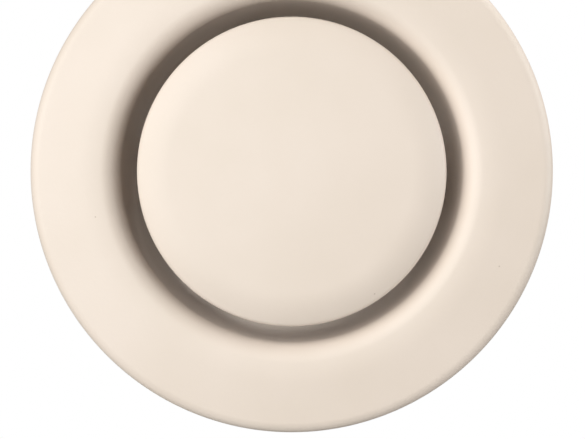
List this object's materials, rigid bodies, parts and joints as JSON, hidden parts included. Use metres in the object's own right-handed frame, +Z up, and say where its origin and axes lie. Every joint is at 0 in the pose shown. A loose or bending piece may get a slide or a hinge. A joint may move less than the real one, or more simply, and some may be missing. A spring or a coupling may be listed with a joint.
{
  "type": "disc valve",
  "caption": "Round ceiling or wall air valve: a domed disc on a screwed spindle inside a pressed ring with a funnel throat, with its duct sleeve.",
  "frame": {"origin": "on the valve's axis, in the plane of the wall that the sleeve's flange lies on", "axes": "+Y along the axis into the wall, -Y towards the room, which the disc's face looks at, +Z up, +X to the right of someone who looks at the face"},
  "size_m": [0.175, 0.0702, 0.175],
  "materials": {
    "painted_face": "satin powder coat, off-white",
    "galvanised_sheet": "galvanised",
    "plated_steel": "bright zinc plate",
    "spring_steel": "rolled, stainless",
    "rivet_metal": "satin",
    "seal_rubber": "matt",
    "foam": "open-cell foam"
  },
  "bodies": {
    "mounting_frame": {"mounting_sleeve": "galvanised_sheet", "lip_seal": "seal_rubber"},
    "insert": {"valve_ring": "painted_face", "flange_gasket": "foam", "bridge": "galvanised_sheet", "bridge_bush": "plated_steel", "bridge_rivet_left": "rivet_metal", "bridge_rivet_right": "rivet_metal", "spring_clip_1": "spring_steel", "spring_clip_2": "spring_steel", "spring_clip_3": "spring_steel", "clip_rivet_1": "rivet_metal", "clip_rivet_2": "rivet_metal", "clip_rivet_3": "rivet_metal"},
    "clip_carrier": {"spindle_end_clip": "spring_steel"},
    "disc_rotor": {"valve_disc": "painted_face", "disc_hub": "galvanised_sheet", "spindle": "plated_steel", "hub_washer": "plated_steel", "hub_nut": "plated_steel"},
    "washer_carrier": {"lock_washer": "plated_steel"},
    "nut_rotor": {"lock_nut": "plated_steel"}
  },
  "joints": [
    {"name": "insert_pull", "type": "slide", "parent": "mounting_frame", "child": "insert", "axis": [0, -1, 0], "range_m": [0, 0.07]},
    {"name": "disc_travel", "type": "slide", "parent": "insert", "child": "clip_carrier", "axis": [0, 1, 0], "range_m": [-0.0075, 0.025]},
    {"name": "disc_turn", "type": "hinge", "parent": "clip_carrier", "child": "disc_rotor", "pos_m": [0, 0, 0], "axis": [0, 1, 0], "range_deg": [-2160, 7200]},
    {"name": "nut_travel", "type": "slide", "parent": "insert", "child": "washer_carrier", "axis": [0, 1, 0], "range_m": [0, 0.0025]},
    {"name": "nut_turn", "type": "hinge", "parent": "washer_carrier", "child": "nut_rotor", "pos_m": [0, 0, 0], "axis": [0, 1, 0], "range_deg": [0, 720]}
  ],
  "couplings": [
    {"joint": "disc_turn", "follows": "disc_travel", "rad_per_m": 5026.5},
    {"joint": "nut_turn", "follows": "nut_travel", "rad_per_m": 5026.5}
  ]
}
